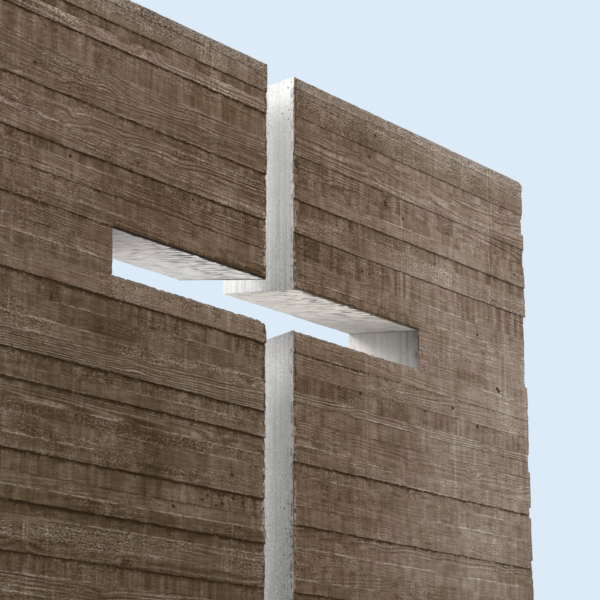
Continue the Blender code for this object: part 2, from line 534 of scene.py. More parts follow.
def knots(x, z, course, courses):
    """The swell of the rings round each chance knot, and how close a point is to a knot's heart."""
    bottom = courses.edges[course]
    width = courses.edges[course + 1] - bottom
    cell = np.floor(x / KNOT_SPACING + course * KNOT_SHIFT).astype(np.int64)
    row = course + courses.seed * 31
    centre_x = (cell + 0.25 + 0.5 * scatter(cell, row, 31) - course * KNOT_SHIFT) * KNOT_SPACING
    centre_z = bottom + width * (0.2 + 0.6 * scatter(cell, row, 32))
    size = (0.007 + 0.014 * scatter(cell, row, 33)) * (scatter(cell, row, 34) > 0.5)
    size = np.maximum(size, 1e-5)
    along = (x - centre_x) / (size * 4.5)
    across = (z - centre_z) / (size * 1.4)
    swell = 1.6 * np.exp(-(along**2 + across**2)) * (size > 1e-4)
    from_heart = ((x - centre_x) / size) ** 2 + ((z - centre_z) / (size * 0.8)) ** 2
    return swell, np.exp(-from_heart) * (size > 1e-4)


def arris_depth(x, z, number):
    """How far an arris is rounded and chipped."""
    spot = noise(x * 52 + 3 * number, z * 52, 51 + number)
    chip = ramp(spot, 0.62, 0.88) * (1.4 + 3.4 * noise(x * 9, z * 9, 55))
    corner_x, corner_z = WORN_CORNER
    worn = np.exp(-(((x - corner_x) / 0.024) ** 2 + ((z - corner_z) / 0.022) ** 2))
    return (1.2 + chip * ramp(noise(x * 4, z * 4, 56), 0.2, 0.6) + 11.0 * worn) * MM


def corner_drop(points):
    """How far the worn corner of the left sill has sunk."""
    x, y, z = points.T
    corner_x, corner_z = WORN_CORNER
    from_corner = ((x - corner_x) / 0.024) ** 2 + ((z - corner_z) / 0.030) ** 2
    from_front = (y + HALF_THICKNESS) / 0.050
    return 10 * MM * np.exp(-from_corner - from_front)


class Face:
    """The marked front or back of one section: places, relief and looks on a grid of rows and columns."""

    def __init__(self, courses, x_marks, hole, row_steps, column_step, back):
        self.courses = courses
        self.back = back
        self.hole = hole
        self.make_rows(row_steps)
        self.make_columns(x_marks, column_step)
        x, z = np.meshgrid(self.columns, self.rows)
        course = np.repeat(self.row_course[:, None], x.shape[1], axis=1)
        bottom = courses.edges[course]
        top = courses.edges[course + 1]
        share = (z - bottom) / (top - bottom)
        self.course = course
        self.nominal_z = z
        self.phase = ring_phase(x, z, course, courses)
        self.patch = np.zeros_like(x)
        self.hole_mask = np.zeros_like(x)
        self.hole_across = np.full_like(x, FAR)
        self.hole_upright = np.full_like(x, FAR)
        if not back:
            swell, self.given_heart = given_knots(x, z)
            self.phase += swell
            self.patch = patch_tone(x, z)
            self.mark_holes(x, z)
        self.make_relief(x, z, course, share, bottom, top)
        self.place(x, z + self.joint_stray(course, share))

    def joint_stray(self, course, share):
        """How far each point moves up or down with the joints over and under it."""
        edges = self.courses.edges
        straight = (edges[0], edges[-1])
        paths = np.array([joint_path(self.columns, edge, self.courses.seed, straight) for edge in edges])
        if self.hole:
            beyond_arm = ramp(np.abs(self.columns), self.hole[1], self.hole[1] + 0.09)
            paths[np.isin(edges, self.hole[2:])] *= beyond_arm
        column = np.arange(len(self.columns))[None, :]
        stray = paths[course, column] * (1 - share)
        stray += paths[course + 1, column] * share
        return stray

    def make_rows(self, row_steps):
        """Rows of points over every course, close together beside its joints."""
        rows = []
        owners = []
        edges = self.courses.edges
        for course in range(len(edges) - 1):
            low = edges[course] + (LIP if course else 0)
            high = edges[course + 1] - (LIP if course < len(edges) - 2 else 0)
            step = row_steps[0] if high > DETAIL_FLOOR else row_steps[1]
            places = graded(low, high, min(FINE_STEP, step), step)
            rows.extend(places)
            owners.extend([course] * len(places))
        self.rows = np.array(rows)
        self.row_course = np.array(owners)

    def make_columns(self, x_marks, column_step):
        spans = []
        for low, high in zip(x_marks[:-1], x_marks[1:]):
            places = graded(low, high, 1.5 * FINE_STEP, column_step)
            spans.append(places if not spans else places[1:])
        self.columns = np.concatenate(spans)

    def mark_holes(self, x, z):
        """Dents the grid at each hole, and keeps every point's offset from its nearest hole."""
        nearest = np.full(x.shape, FAR)
        for number, (hole_x, hole_z) in enumerate(HOLES):
            size = 0.9 + 0.7 * scatter(number, 1, 68)
            across = (x - hole_x) / size
            upright = 1.35 * (z - hole_z) / size
            far = np.hypot(across, upright)
            closer = far < nearest
            nearest = np.where(closer, far, nearest)
            self.hole_across = np.where(closer, across, self.hole_across)
            self.hole_upright = np.where(closer, upright, self.hole_upright)
            if self.columns[0] < hole_x < self.columns[-1]:
                row = np.argmin(np.abs(self.rows - hole_z))
                column = np.argmin(np.abs(self.columns - hole_x))
                self.hole_mask[row, column] = 1.0

    def make_relief(self, x, z, course, share, bottom, top):
        """Depth, dirt with painted shade, grout and knots of every board."""
        courses = self.courses
        seed = courses.seed
        shift = course * 5.7 + seed
        depth = (courses.depth[course] + courses.tilt[course] * (2 * share - 1)) * MM
        depth = depth + 1.0 * MM * rough(x * 1.8, shift, 41)
        depth = depth + 0.5 * MM * rough(x * 9, z * 35, 42)
        depth = depth + 0.7 * MM * courses.grit[course] * rough(x * 55, z * 75, 49)
        wave = -np.sin(2 * np.pi * self.phase / RIDGE_PERIOD)
        depth = depth + 0.8 * MM * courses.grain[course] * wave
        if not self.back:
            behind_butt = (np.abs(top - BUTT_COURSE_TOP) < MM) & (x < BUTT_X)
            depth = depth + BUTT_RECESS * behind_butt

        # The joint over this board and the joint under it
        last = len(courses.depth) - 1
        above = np.minimum(course + 1, last)
        covered = course < last
        carried = course > 0
        over = joint_strength(x, top, courses.dark[above]) * covered
        under = joint_strength(x, bottom, courses.dark[course]) * carried
        to_top = top - z
        to_bottom = z - bottom
        broken = 0.40 + 0.60 * ramp(noise(x * 36, top * 50, 43), 0.25, 0.7)
        width = (4.5 + 6.0 * noise(x * 20, top * 29, 40)) * MM
        depth = depth + 2.5 * MM * over * broken * np.exp(-((to_top / width) ** 2))
        depth = depth - 1.5 * MM * under * np.exp(-((to_bottom / (9 * MM)) ** 2))

        # Fins where grout leaked between two boards, and nicks in the lower edges
        fins = []
        upper = (courses.light[above] * covered, top, to_top)
        lower = (courses.light[course] * carried, bottom, to_bottom)
        for strength, height, reach in (upper, lower):
            along = ramp(noise(x * 2.2, height * 23, 44), 0.70 - 0.7 * strength, 0.95 - 0.7 * strength)
            crumbs = 0.30 + 0.70 * ramp(noise(x * 44, height * 41, 45), 0.30, 0.6)
            fins.append(along * crumbs * np.exp(-((reach / (3.4 * MM)) ** 2)))
        fin = np.maximum(*fins)
        depth = depth - 2.8 * MM * fin
        nick = ramp(noise(x * 40, bottom * 37, 46), 0.62, 0.9) * np.exp(-((to_bottom / (6 * MM)) ** 2))
        depth = depth + 3.5 * MM * nick * (0.4 + under)

        # Dirt and painted shade in the joints and under each proud board, less dark to the right and
        # higher up
        joint_fade = 1 - 0.2 * ramp(x, -0.05, 0.1) - 0.35 * ramp(x, 0.6, 1.6)
        joint_fade = joint_fade * (1 - 0.5 * ramp(z, 3.95, 4.3))
        dirt_and_shade = joint_fade * 1.4 * over**1.5 * broken * np.exp(-((to_top / (1.6 * width)) ** 2))
        shade_and_drip_reach = (13 + 85 * noise(x * 26, shift, 47) ** 3) * MM
        # Painted shade: a soft dark band under the proud board above, with drip marks in it
        dirt_and_shade = dirt_and_shade + 0.60 * joint_fade * over * np.exp(-to_top / shade_and_drip_reach)
        dirt_and_shade = dirt_and_shade + joint_fade * under * (0.5 + 0.5 * nick) * np.exp(-((to_bottom / (4.5 * MM)) ** 2))
        heart = knots(x, z, course, courses)[1]
        if not self.back:
            heart = np.maximum(heart, self.given_heart)
        depth = depth + 1.2 * MM * heart + 3.0 * MM * self.hole_mask
        self.depth, self.dirt_and_shade, self.light, self.heart = depth, dirt_and_shade, fin, heart

    def edge_distance(self, x, z):
        """Distance to the slit's side and to the arm's sides, past the thickness of their coats."""
        slit, arm, arm_low, arm_high = self.hole
        from_slit = np.abs(x) - (slit - COAT_THICKNESS)
        beyond_arm = np.maximum(np.abs(x) - (arm - COAT_THICKNESS), 0)
        off_arm = np.maximum(z - (arm_high - COAT_THICKNESS), (arm_low + COAT_THICKNESS) - z)
        from_arm = np.where(off_arm > 0, np.hypot(off_arm, beyond_arm), beyond_arm)
        return from_slit, from_arm

    def place(self, x, z):
        """Chips the arrises, then sets every point in its place."""
        depth = self.depth
        from_end = HALF_WIDTH - np.abs(x)
        from_top = WALL_TOP - z
        upper = self.nominal_z > 4
        distances = [from_end + 0 * z, np.where(upper, from_top, FAR)]
        if self.hole:
            from_slit, from_arm = self.edge_distance(x, self.nominal_z)
            distances += [from_slit, from_arm]
            self.mark_arm_edges(x, z, from_slit)
        for number, distance in enumerate(distances):
            depth = depth + arris_depth(x, z, number) * np.exp(-((distance / (5.5 * MM)) ** 2))
        self.depth = np.clip(depth, SHALLOWEST, DEEPEST)

        # Uneven ends of the courses where the wall stops
        ragged = self.end_recess(z, self.course)
        reach = ramp(from_end, 0.12, 0.0)
        x = x - np.sign(x) * ragged * reach
        crest = 1.2 * MM + 1.8 * MM * noise(x * 40, 0.5, 57)
        crest = crest + 2.5 * MM * ramp(noise(x * 17, 7.5, 58), 0.7, 0.95)
        corner = 14 * MM * ramp(from_end, 0.05, 0.0) ** 2
        z = z - (crest + corner) * ramp(from_top, 0.06, 0.0) * upper
        y = HALF_THICKNESS - self.depth if self.back else -HALF_THICKNESS + self.depth
        self.points = np.stack([x, y, z], axis=-1)

    def mark_arm_edges(self, x, z, from_slit):
        """Dark crumbs over the arm, a painted highlight on its sill's arris, pits and white spill beside
        the slit, painted shade under the worn corner.
        """
        _, arm, arm_low, arm_high = self.hole
        beside = ramp(arm - np.abs(x), -0.01, 0.02)
        over = np.maximum(z - arm_high, 0) + FAR * (self.nominal_z < arm_high)
        under = np.maximum(arm_low - z, 0) + FAR * (self.nominal_z > arm_low)
        crumbs = 0.35 + 0.65 * ramp(noise(x * 62, 0.5, 65), 0.35, 0.65)
        width = (9 + 9 * ramp(x, -0.55, -0.12) * (x < 0)) * MM
        band = (1.7 - 1.2 * (x > 0)) * np.exp(-((over / width) ** 2))
        band = band + 0.7 * np.exp(-over / (14 * MM)) * (0.3 + 0.7 * noise(x * 30, z * 90, 66))
        self.dirt_and_shade = np.maximum(self.dirt_and_shade, beside * crumbs * band)
        # Painted highlight: a pale rim along the top of the sill's front arris, where its rounded edge
        # catches the light from above
        painted_rim_highlight = np.exp(-((under / (4 * MM)) ** 2)) * (0.25 + 0.75 * noise(x * 33, 0.5, 67))
        self.light = np.maximum(self.light, 0.75 * beside * painted_rim_highlight)
        beside_slit = np.exp(-((np.maximum(from_slit - COAT_THICKNESS, 0) / (13 * MM)) ** 2))
        spill = ramp(noise(z * 62, x * 80, 69), 0.50, 0.66) * ramp(noise(z * 2.6, 0.5, 70), 0.35, 0.65)
        pits = ramp(noise(z * 58, x * 70, 74), 0.42, 0.60)
        self.light = np.maximum(self.light, 1.3 * beside_slit * spill)
        self.dirt_and_shade = np.maximum(self.dirt_and_shade, 1.0 * beside_slit * pits * (1 - spill))
        # Painted shade: darker just under the worn corner of the left sill
        worn = ((x - WORN_CORNER[0]) / 0.018) ** 2 + ((z - WORN_CORNER[1] + 0.012) / 0.026) ** 2
        self.dirt_and_shade = np.maximum(self.dirt_and_shade, 0.9 * np.exp(-worn))

    def end_recess(self, z, course):
        """How far the wall's end lies back from its full width, course by course."""
        courses = self.courses
        recess = 5 * MM * courses.end[course] + 1.5 * MM * (1 + rough(z * 23, 1.5, 61))
        recess = recess + 3 * MM * (1 + rough(z * 6.5, 4.5, 63))
        recess = recess + 4 * MM * ramp(noise(z * 60, 2.5, 62), 0.72, 0.95)
        for z_low, z_high, amount in END_STEPS:
            recess = recess + amount * MM * ramp(np.minimum(z - z_low, z_high - z), -3 * MM, 5 * MM)
        return np.clip(recess, 0.3 * MM, 30 * MM)

    def looks(self):
        """What the material reads at every point."""
        courses = self.courses
        values = {
            "ring": self.phase,
            "dirt_and_shade": self.dirt_and_shade,
            "light": self.light,
            "tone": courses.tone[self.course] + self.patch,
            "grain": courses.grain[self.course],
            "saw": courses.saw[self.course],
            "board_seed": (self.course * 0.37 + courses.seed * 0.11) % 10,
            "knot": self.heart,
            "grit": courses.grit[self.course],
            "hole_across": self.hole_across,
            "hole_upright": self.hole_upright,
        }
        return stacked_looks(values, self.phase.shape)

    def cut(self, outline, skip=1):
        """The rows and columns inside an outline, as points and looks."""
        x_low, x_high, z_low, z_high = outline
        slack = 0.45 * MM
        inside = (self.rows >= z_low - slack) & (self.rows <= z_high + slack)
        rows = np.flatnonzero(inside)
        first = np.argmin(np.abs(self.columns - x_low))
        last = np.argmin(np.abs(self.columns - x_high))
        columns = np.arange(first, last + 1)
        if skip > 1:
            inner = columns[1:-1]
            columns = np.concatenate([columns[:1], inner[skip - 1 :: skip], columns[-1:]])
        pick = np.ix_(rows, columns)
        return self.points[pick], self.looks()[pick]


def side_chains(rows, columns):
    """Indices of a grid's border, side by side, anticlockwise from the lower left."""
    index = np.arange(rows * columns).reshape(rows, columns)
    return [index[0, :], index[:, -1], index[-1, ::-1], index[::-1, 0]]


def thinned(points, spacing, keep):
    """Places along a chain of points, about a spacing apart, that keep the ones asked for."""
    steps = np.linalg.norm(np.diff(points, axis=0), axis=1)
    along = np.concatenate([[0], np.cumsum(steps)])
    chosen = [0]
    for place in range(1, len(points) - 1):
        near = along[place] - along[chosen[-1]] < (0.3 * MM if keep[place] else spacing)
        if not near and along[-1] - along[place] > 0.5 * spacing:
            chosen.append(place)
    chosen.append(len(points) - 1)
    return np.array(chosen)


def matched(shares, others):
    """For each share, the nearest place among others, in order and without repeats."""
    found = [0]
    for position, share in enumerate(shares[1:-1], start=1):
        low = found[-1] + 1
        high = len(others) - (len(shares) - position)
        window = others[low : high + 1]
        found.append(low + int(np.argmin(np.abs(window - share))))
    found.append(len(others) - 1)
    return np.array(found)


class Block:
    """A closed mesh between a marked front grid and a back grid."""

    def __init__(self, name):
        self.name = name
        self.points = []
        self.looks = []
        self.polygons = []
        self.count = 0

    def add_points(self, points, looks):
        start = self.count
        flat = points.reshape(-1, 3)
        self.points.append(flat)
        self.looks.append(looks.reshape(len(flat), -1))
        self.count += len(flat)
        return start

    def add_grid(self, points, looks, flip):
        rows, columns = points.shape[:2]
        start = self.add_points(points, looks)
        index = start + np.arange(rows * columns).reshape(rows, columns)
        quads = np.stack([index[:-1, :-1], index[:-1, 1:], index[1:, 1:], index[1:, :-1]], axis=-1)
        quads = quads.reshape(-1, 4)
        self.polygons.append(quads[:, ::-1] if flip else quads)
        return [start + chain for chain in side_chains(rows, columns)]

    def close(self, front_chains, back_chains, spacings, keeps, shape_side):
        """Joins the borders of both grids through loops of points on the way from front to back."""
        points = np.concatenate(self.points)
        looks = np.concatenate(self.looks)
        picks = []
        for side in range(4):
            chain = front_chains[side]
            back_chain = back_chains[side]
            chosen = thinned(points[chain], spacings[side], keeps[side])
            if len(chosen) > len(back_chain):
                fewer = np.linspace(0, len(chosen) - 1, len(back_chain)).round().astype(int)
                chosen = chosen[fewer]
            axis = 0 if side in (BOTTOM, TOP) else 2
            front_place = points[chain][:, axis]
            back_place = points[back_chain][:, axis]
            shares = (front_place[chosen] - front_place[0]) / (front_place[-1] - front_place[0])
            others = (back_place - back_place[0]) / (back_place[-1] - back_place[0])
            partner = matched(shares, others)
            picks.append((chosen, partner))
        loops = []
        for level in LOOP_SHARES:
            loop = []
            for side, (chosen, partner) in enumerate(picks):
                a = front_chains[side][chosen[:-1]]
                b = back_chains[side][partner[:-1]]
                place = points[a] * (1 - level) + points[b] * level
                look = looks[a] * (1 - level) + looks[b] * level
                place, look = shape_side(side, place, look)
                start = self.add_points(place, look)
                loop.append(start + np.arange(len(place)))
            loops.append(loop)
        self.stitch(front_chains, back_chains, picks, loops)

    def stitch(self, front_chains, back_chains, picks, loops):
        """Faces from the front's border through the loops to the back's border."""
        first = np.concatenate(loops[0])
        last = np.concatenate(loops[-1])
        offset = 0
        for side, (chosen, partner) in enumerate(picks):
            for k in range(len(chosen) - 1):
                here = offset + k
                following = (here + 1) % len(first)
                ahead = front_chains[side][chosen[k] : chosen[k + 1] + 1][::-1]
                self.polygons.append(np.concatenate([ahead, [first[here], first[following]]])[None, :])
                behind = back_chains[side][partner[k] : partner[k + 1] + 1]
                self.polygons.append(np.concatenate([[last[following], last[here]], behind])[None, :])
            offset += len(chosen) - 1
        for near, far in zip(loops[:-1], loops[1:]):
            a = np.concatenate(near)
            b = np.concatenate(far)
            self.polygons.append(np.stack([a, b, np.roll(b, -1), np.roll(a, -1)], axis=-1))

    def close_directly(self, front_chains, back_chains):
        """Joins the borders of two grids with one strip, whatever their counts."""
        for ahead, behind in zip(front_chains, back_chains):
            count = len(behind)
            picks = np.linspace(0, len(ahead) - 1, count).round().astype(int)
            for k in range(count - 1):
                near = ahead[picks[k] : picks[k + 1] + 1][::-1]
                self.polygons.append(np.concatenate([near, behind[k : k + 2]])[None, :])

    def make(self, material, node):
        """Writes the mesh, gives it its finish and sets it on the wall in place of a node."""
        points = np.concatenate(self.points)
        looks = np.concatenate(self.looks)
        points[:, 2] -= corner_drop(points)
        mesh = bpy.data.meshes.new(self.name)
        sizes = np.concatenate([np.full(len(p), p.shape[1]) for p in self.polygons])
        corners = np.concatenate([p.ravel() for p in self.polygons])
        mesh.vertices.add(len(points))
        mesh.vertices.foreach_set("co", points.astype(np.float32).ravel())
        mesh.loops.add(len(corners))
        mesh.loops.foreach_set("vertex_index", corners.astype(np.int32))
        mesh.polygons.add(len(sizes))
        starts = np.concatenate([[0], np.cumsum(sizes)[:-1]])
        mesh.polygons.foreach_set("loop_start", starts.astype(np.int32))
        mesh.update(calc_edges=True)
        for number, name in enumerate(LOOK_NAMES):
            attribute = mesh.attributes.new(name, "FLOAT", "POINT")
            attribute.data.foreach_set("value", looks[:, number].astype(np.float32))
        mesh.shade_smooth()
        mesh.set_sharp_from_angle(angle=SHARP_ANGLE)
        mesh.materials.append(material)
        obj = bpy.data.objects.new(self.name, mesh)
        bpy.context.scene.collection.objects.link(obj)
        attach(obj, "root")
        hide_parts(node)
        return obj


def feed(tree, socket, value):
    """Links a node's output to a socket, or sets the socket to a plain value."""
    if isinstance(value, bpy.types.NodeSocket):
        tree.links.new(value, socket)
    else:
        socket.default_value = value


def add_node(tree, kind, settings=None, values=None):
    node = tree.nodes.new(kind)
    for name, value in (settings or {}).items():
        setattr(node, name, value)
    for name, value in (values or {}).items():
        feed(tree, node.inputs[name], value)
    return node


def math_node(tree, operation, *values, clamp=False):
    node = add_node(tree, "ShaderNodeMath", {"operation": operation, "use_clamp": clamp})
    for socket, value in zip(node.inputs, values):
        feed(tree, socket, value)
    return node.outputs[0]


def times(tree, first, second):
    return math_node(tree, "MULTIPLY", first, second)


def plus(tree, first, second, clamp=False):
    return math_node(tree, "ADD", first, second, clamp=clamp)


def centred(tree, value):
    return math_node(tree, "SUBTRACT", value, 0.5)


def total(tree, terms):
    """Sums values, each times its weight."""
    result = None
    for value, weight in terms:
        term = times(tree, value, weight)
        result = term if result is None else plus(tree, result, term)
    return result


def separated(tree, vector):
    """The X, the Y and the Z of a vector."""
    outputs = add_node(tree, "ShaderNodeSeparateXYZ", None, {"Vector": vector}).outputs
    return outputs["X"], outputs["Y"], outputs["Z"]


def combined(tree, x, y, z=0.0):
    return add_node(tree, "ShaderNodeCombineXYZ", None, {"X": x, "Y": y, "Z": z}).outputs["Vector"]


def mapped(tree, vector, scale, location=(0, 0, 0)):
    values = {"Vector": vector, "Location": location, "Scale": scale}
    return add_node(tree, "ShaderNodeMapping", None, values).outputs["Vector"]


def noise_value(tree, vector, scale, detail=2.0, roughness=0.5):
    values = {"Vector": vector, "Scale": scale, "Detail": detail, "Roughness": roughness}
    return add_node(tree, "ShaderNodeTexNoise", None, values).outputs["Fac"]


def uneven(tree, place, stretch, scale, detail, roughness=0.5):
    """Noise from minus a half to a half, packed closer along some axes than along others."""
    return centred(tree, noise_value(tree, mapped(tree, place, stretch), scale, detail, roughness))


def attribute_value(tree, name):
    return add_node(tree, "ShaderNodeAttribute", {"attribute_name": name}).outputs["Fac"]


def smooth_range(tree, value, low, high, out_low=0.0, out_high=1.0):
    values = {"Value": value, "From Min": low, "From Max": high, "To Min": out_low, "To Max": out_high}
    node = add_node(tree, "ShaderNodeMapRange", {"interpolation_type": "SMOOTHSTEP"}, values)
    return node.outputs["Result"]


def mix_colour(tree, blend, factor, first, second):
    node = add_node(tree, "ShaderNodeMix", {"data_type": "RGBA", "blend_type": blend})
    sockets = {socket.identifier: socket for socket in node.inputs}
    feed(tree, sockets["Factor_Float"], factor)
    feed(tree, sockets["A_Color"], first)
    feed(tree, sockets["B_Color"], second)
    return next(socket for socket in node.outputs if socket.identifier == "Result_Color")


def colour_ramp(tree, value, stops):
    node = tree.nodes.new("ShaderNodeValToRGB")
    elements = node.color_ramp.elements
    while len(elements) < len(stops):
        elements.new(0.5)
    for element, (place, colour) in zip(elements, stops):
        element.position = place
        element.color = (*colour, 1.0)
    tree.links.new(value, node.inputs["Fac"])
    return node.outputs["Color"]


def new_group(name, inputs, outputs):
    """A shader node group with named sockets. Returns it with its input and output nodes."""
    group = bpy.data.node_groups.new(name, "ShaderNodeTree")
    for label, kind, value in inputs:
        socket = group.interface.new_socket(label, in_out="INPUT", socket_type=kind)
        if value is not None:
            socket.default_value = value
    for label, kind in outputs:
        group.interface.new_socket(label, in_out="OUTPUT", socket_type=kind)
    return group, group.nodes.new("NodeGroupInput"), group.nodes.new("NodeGroupOutput")


# Shades of the concrete and of the coat from dark to light, each with its place on the ramp
CONCRETE_SHADES = (
    (0.05, (0.034, 0.019, 0.008)),
    (0.30, (0.091, 0.057, 0.034)),
    (0.50, (0.166, 0.116, 0.085)),
    (0.70, (0.260, 0.204, 0.166)),
    (0.95, (0.440, 0.386, 0.334)),
)
COAT_SHADES = (
    (0.00, (0.140, 0.134, 0.130)),
    (0.20, (0.300, 0.294, 0.289)),
    (0.45, (0.522, 0.518, 0.514)),
    (0.65, (0.724, 0.722, 0.720)),
    (0.90, (0.875, 0.875, 0.875)),
)

# Tints that a colour is multiplied by
OLIVE_TINT = (0.988, 1.010, 0.960, 1.0)
ROSE_TINT = (1.015, 0.990, 1.000, 1.0)
LOWER_LEFT_TINT = (0.960, 1.015, 1.010, 1.0)
WARM_LIGHT_TINT = (1.0, 0.955, 0.905, 1.0)
ROSY_LIGHT_TINT = (1.0, 0.935, 0.950, 1.0)

# Plain colours
CREST_DARK = (0.070, 0.062, 0.056, 1.0)
CREST_LIGHT = (0.430, 0.405, 0.380, 1.0)
JOINT_DIRT_AND_SHADE = (0.044, 0.0255, 0.0100, 1.0)
BARE_DARK = (0.095, 0.064, 0.042, 1.0)
BARE_LIGHT = (0.220, 0.163, 0.120, 1.0)
BARE_BLACK = (0.030, 0.018, 0.010, 1.0)
PINHOLE_GREY = (0.060, 0.052, 0.045, 1.0)
FLOOR_GREY = (0.62, 0.62, 0.60, 1.0)
SKY_WHITE = (1.0, 1.0, 1.0, 1.0)
SKY_BLUE = (0.72, 0.83, 0.94, 1.0)

FLOAT = "NodeSocketFloat"
VECTOR = "NodeSocketVector"


def pinhole_group():
    """Dark round pinholes of trapped air, in loose swarms."""
    inputs = [
        ("Place", VECTOR, None),
        ("Per metre", FLOAT, 60.0),
        ("Radius", FLOAT, 0.14),
        ("Share", FLOAT, 0.2),
    ]
    group, enter, leave = new_group("pinholes", inputs, [("Mask", FLOAT)])
    place = enter.outputs["Place"]
    radius = enter.outputs["Radius"]
    values = {"Vector": place, "Scale": enter.outputs["Per metre"]}
    cells = add_node(group, "ShaderNodeTexVoronoi", None, values)
    pick = add_node(group, "ShaderNodeSeparateColor", None, {"Color": cells.outputs["Color"]})
    swarm = smooth_range(group, noise_value(group, place, 5.0, 1.0), 0.42, 0.62)
    share = times(group, enter.outputs["Share"], swarm)
    chosen = math_node(group, "LESS_THAN", pick.outputs["Red"], share)
    size = plus(group, times(group, pick.outputs["Green"], radius), times(group, radius, 0.5))
    inside = smooth_range(group, cells.outputs["Distance"], size, times(group, size, 0.6))
    group.links.new(times(group, inside, chosen), leave.inputs["Mask"])
    return group


def pinhole_mask(tree, pinholes, place, per_metre, radius, share):
    values = {"Place": place, "Per metre": per_metre, "Radius": radius, "Share": share}
    return add_node(tree, "ShaderNodeGroup", {"node_tree": pinholes}, values).outputs["Mask"]


def streak_group():
    """Upright streaks, light and dark, from minus a half to a half."""
    inputs = [
        ("Place", VECTOR, None),
        ("Per metre", FLOAT, 40.0),
        ("Length", FLOAT, 0.05),
        ("Shift", FLOAT, 0.0),
    ]
    group, enter, leave = new_group("streaks", inputs, [("Value", FLOAT)])
    x, y, z = separated(group, enter.outputs["Place"])
    upright = plus(group, times(group, z, enter.outputs["Length"]), enter.outputs["Shift"])
    value = noise_value(group, combined(group, x, y, upright), enter.outputs["Per metre"], 3.0, 0.6)
    group.links.new(centred(group, value), leave.inputs["Value"])
    return group


def streak_value(tree, streaks, place, per_metre, length, shift):
    values = {"Place": place, "Per metre": per_metre, "Length": length, "Shift": shift}
    return add_node(tree, "ShaderNodeGroup", {"node_tree": streaks}, values).outputs["Value"]


def new_material(name, roughness):
    """A material with its node tree and its shader."""
    material = bpy.data.materials.new(name)
    material.use_nodes = True
    shader = material.node_tree.nodes["Principled BSDF"]
    shader.inputs["Roughness"].default_value = roughness
    return material, material.node_tree, shader


def dress(tree, shader, colour, specular, height, strength, distance):
    """Gives a shader its colour and its sheen, and the bumps of a height."""
    tree.links.new(colour, shader.inputs["Base Color"])
    shader.inputs["Specular IOR Level"].default_value = specular
    values = {"Strength": strength, "Distance": distance, "Height": height}
    bump = add_node(tree, "ShaderNodeBump", None, values)
    tree.links.new(bump.outputs["Normal"], shader.inputs["Normal"])


def growth_rings(tree, place, x, seed):
    """Growth rings, followed along their own count: thin light ridges and darker hollows."""
    ring = attribute_value(tree, "ring")
    grain = attribute_value(tree, "grain")
    ring_place = combined(tree, ring, times(tree, x, 2.2), seed)
    rings = centred(tree, noise_value(tree, ring_place, 1.45, 2.0, 0.5))
    dashes = noise_value(tree, mapped(tree, place, (34.0, 34.0, 150.0)), 1.0, 2.0, 0.6)
    broken = smooth_range(tree, dashes, 0.30, 0.62, 0.25, 1.25)
    wave = math_node(tree, "SINE", times(tree, ring, 2 * math.pi / RIDGE_PERIOD))
    clear = smooth_range(tree, noise_value(tree, ring_place, 0.45, 1.0), 0.36, 0.60, 0.15, 1.0)
    crests = times(tree, smooth_range(tree, wave, 0.15, 0.95), clear)
    troughs = times(tree, smooth_range(tree, wave, -0.10, -0.95), clear)
    ridges = total(tree, [(smooth_range(tree, rings, 0.0, 0.15), 0.55), (crests, 0.75)])
    ridges = times(tree, ridges, broken)
    hollows = total(tree, [(smooth_range(tree, rings, -0.02, -0.18), 0.55), (troughs, 0.75)])
    return times(tree, ridges, grain), times(tree, hollows, grain)


def dark_marks(tree, place, pinholes):
    """Dirt and painted shade with ragged edges, pinholes, and the listed holes."""
    crumbs = uneven(tree, place, (90.0, 90.0, 120.0), 1.0, 2.0, 0.6)
    dirt_and_shade_level = attribute_value(tree, "dirt_and_shade")
    teeth = uneven(tree, place, (74.0, 74.0, 24.0), 1.0, 1.0)
    torn = times(tree, total(tree, [(crumbs, 2.0), (teeth, 3.0)]), dirt_and_shade_level)
    ragged = total(tree, [(dirt_and_shade_level, 1.0), (crumbs, 0.6), (torn, 1.0)])
    dirt_and_shade = times(tree, smooth_range(tree, ragged, 0.20, 0.68), 0.84)
    across = attribute_value(tree, "hole_across")
    hole_place = combined(tree, across, attribute_value(tree, "hole_upright"))
    reach = add_node(tree, "ShaderNodeVectorMath", {"operation": "LENGTH"}, {0: hole_place})
    from_hole = plus(tree, reach.outputs["Value"], times(tree, crumbs, 0.006))
    holes = pinhole_mask(tree, pinholes, place, 62.0, 0.20, 0.45)
    big_holes = pinhole_mask(tree, pinholes, place, 8.0, 0.05, 0.35)
    dark = math_node(tree, "MAXIMUM", dirt_and_shade, times(tree, holes, 0.85))
    dark = math_node(tree, "MAXIMUM", dark, times(tree, big_holes, 0.92))
    return math_node(tree, "MAXIMUM", dark, smooth_range(tree, from_hole, HOLE_RIM, HOLE_CORE))


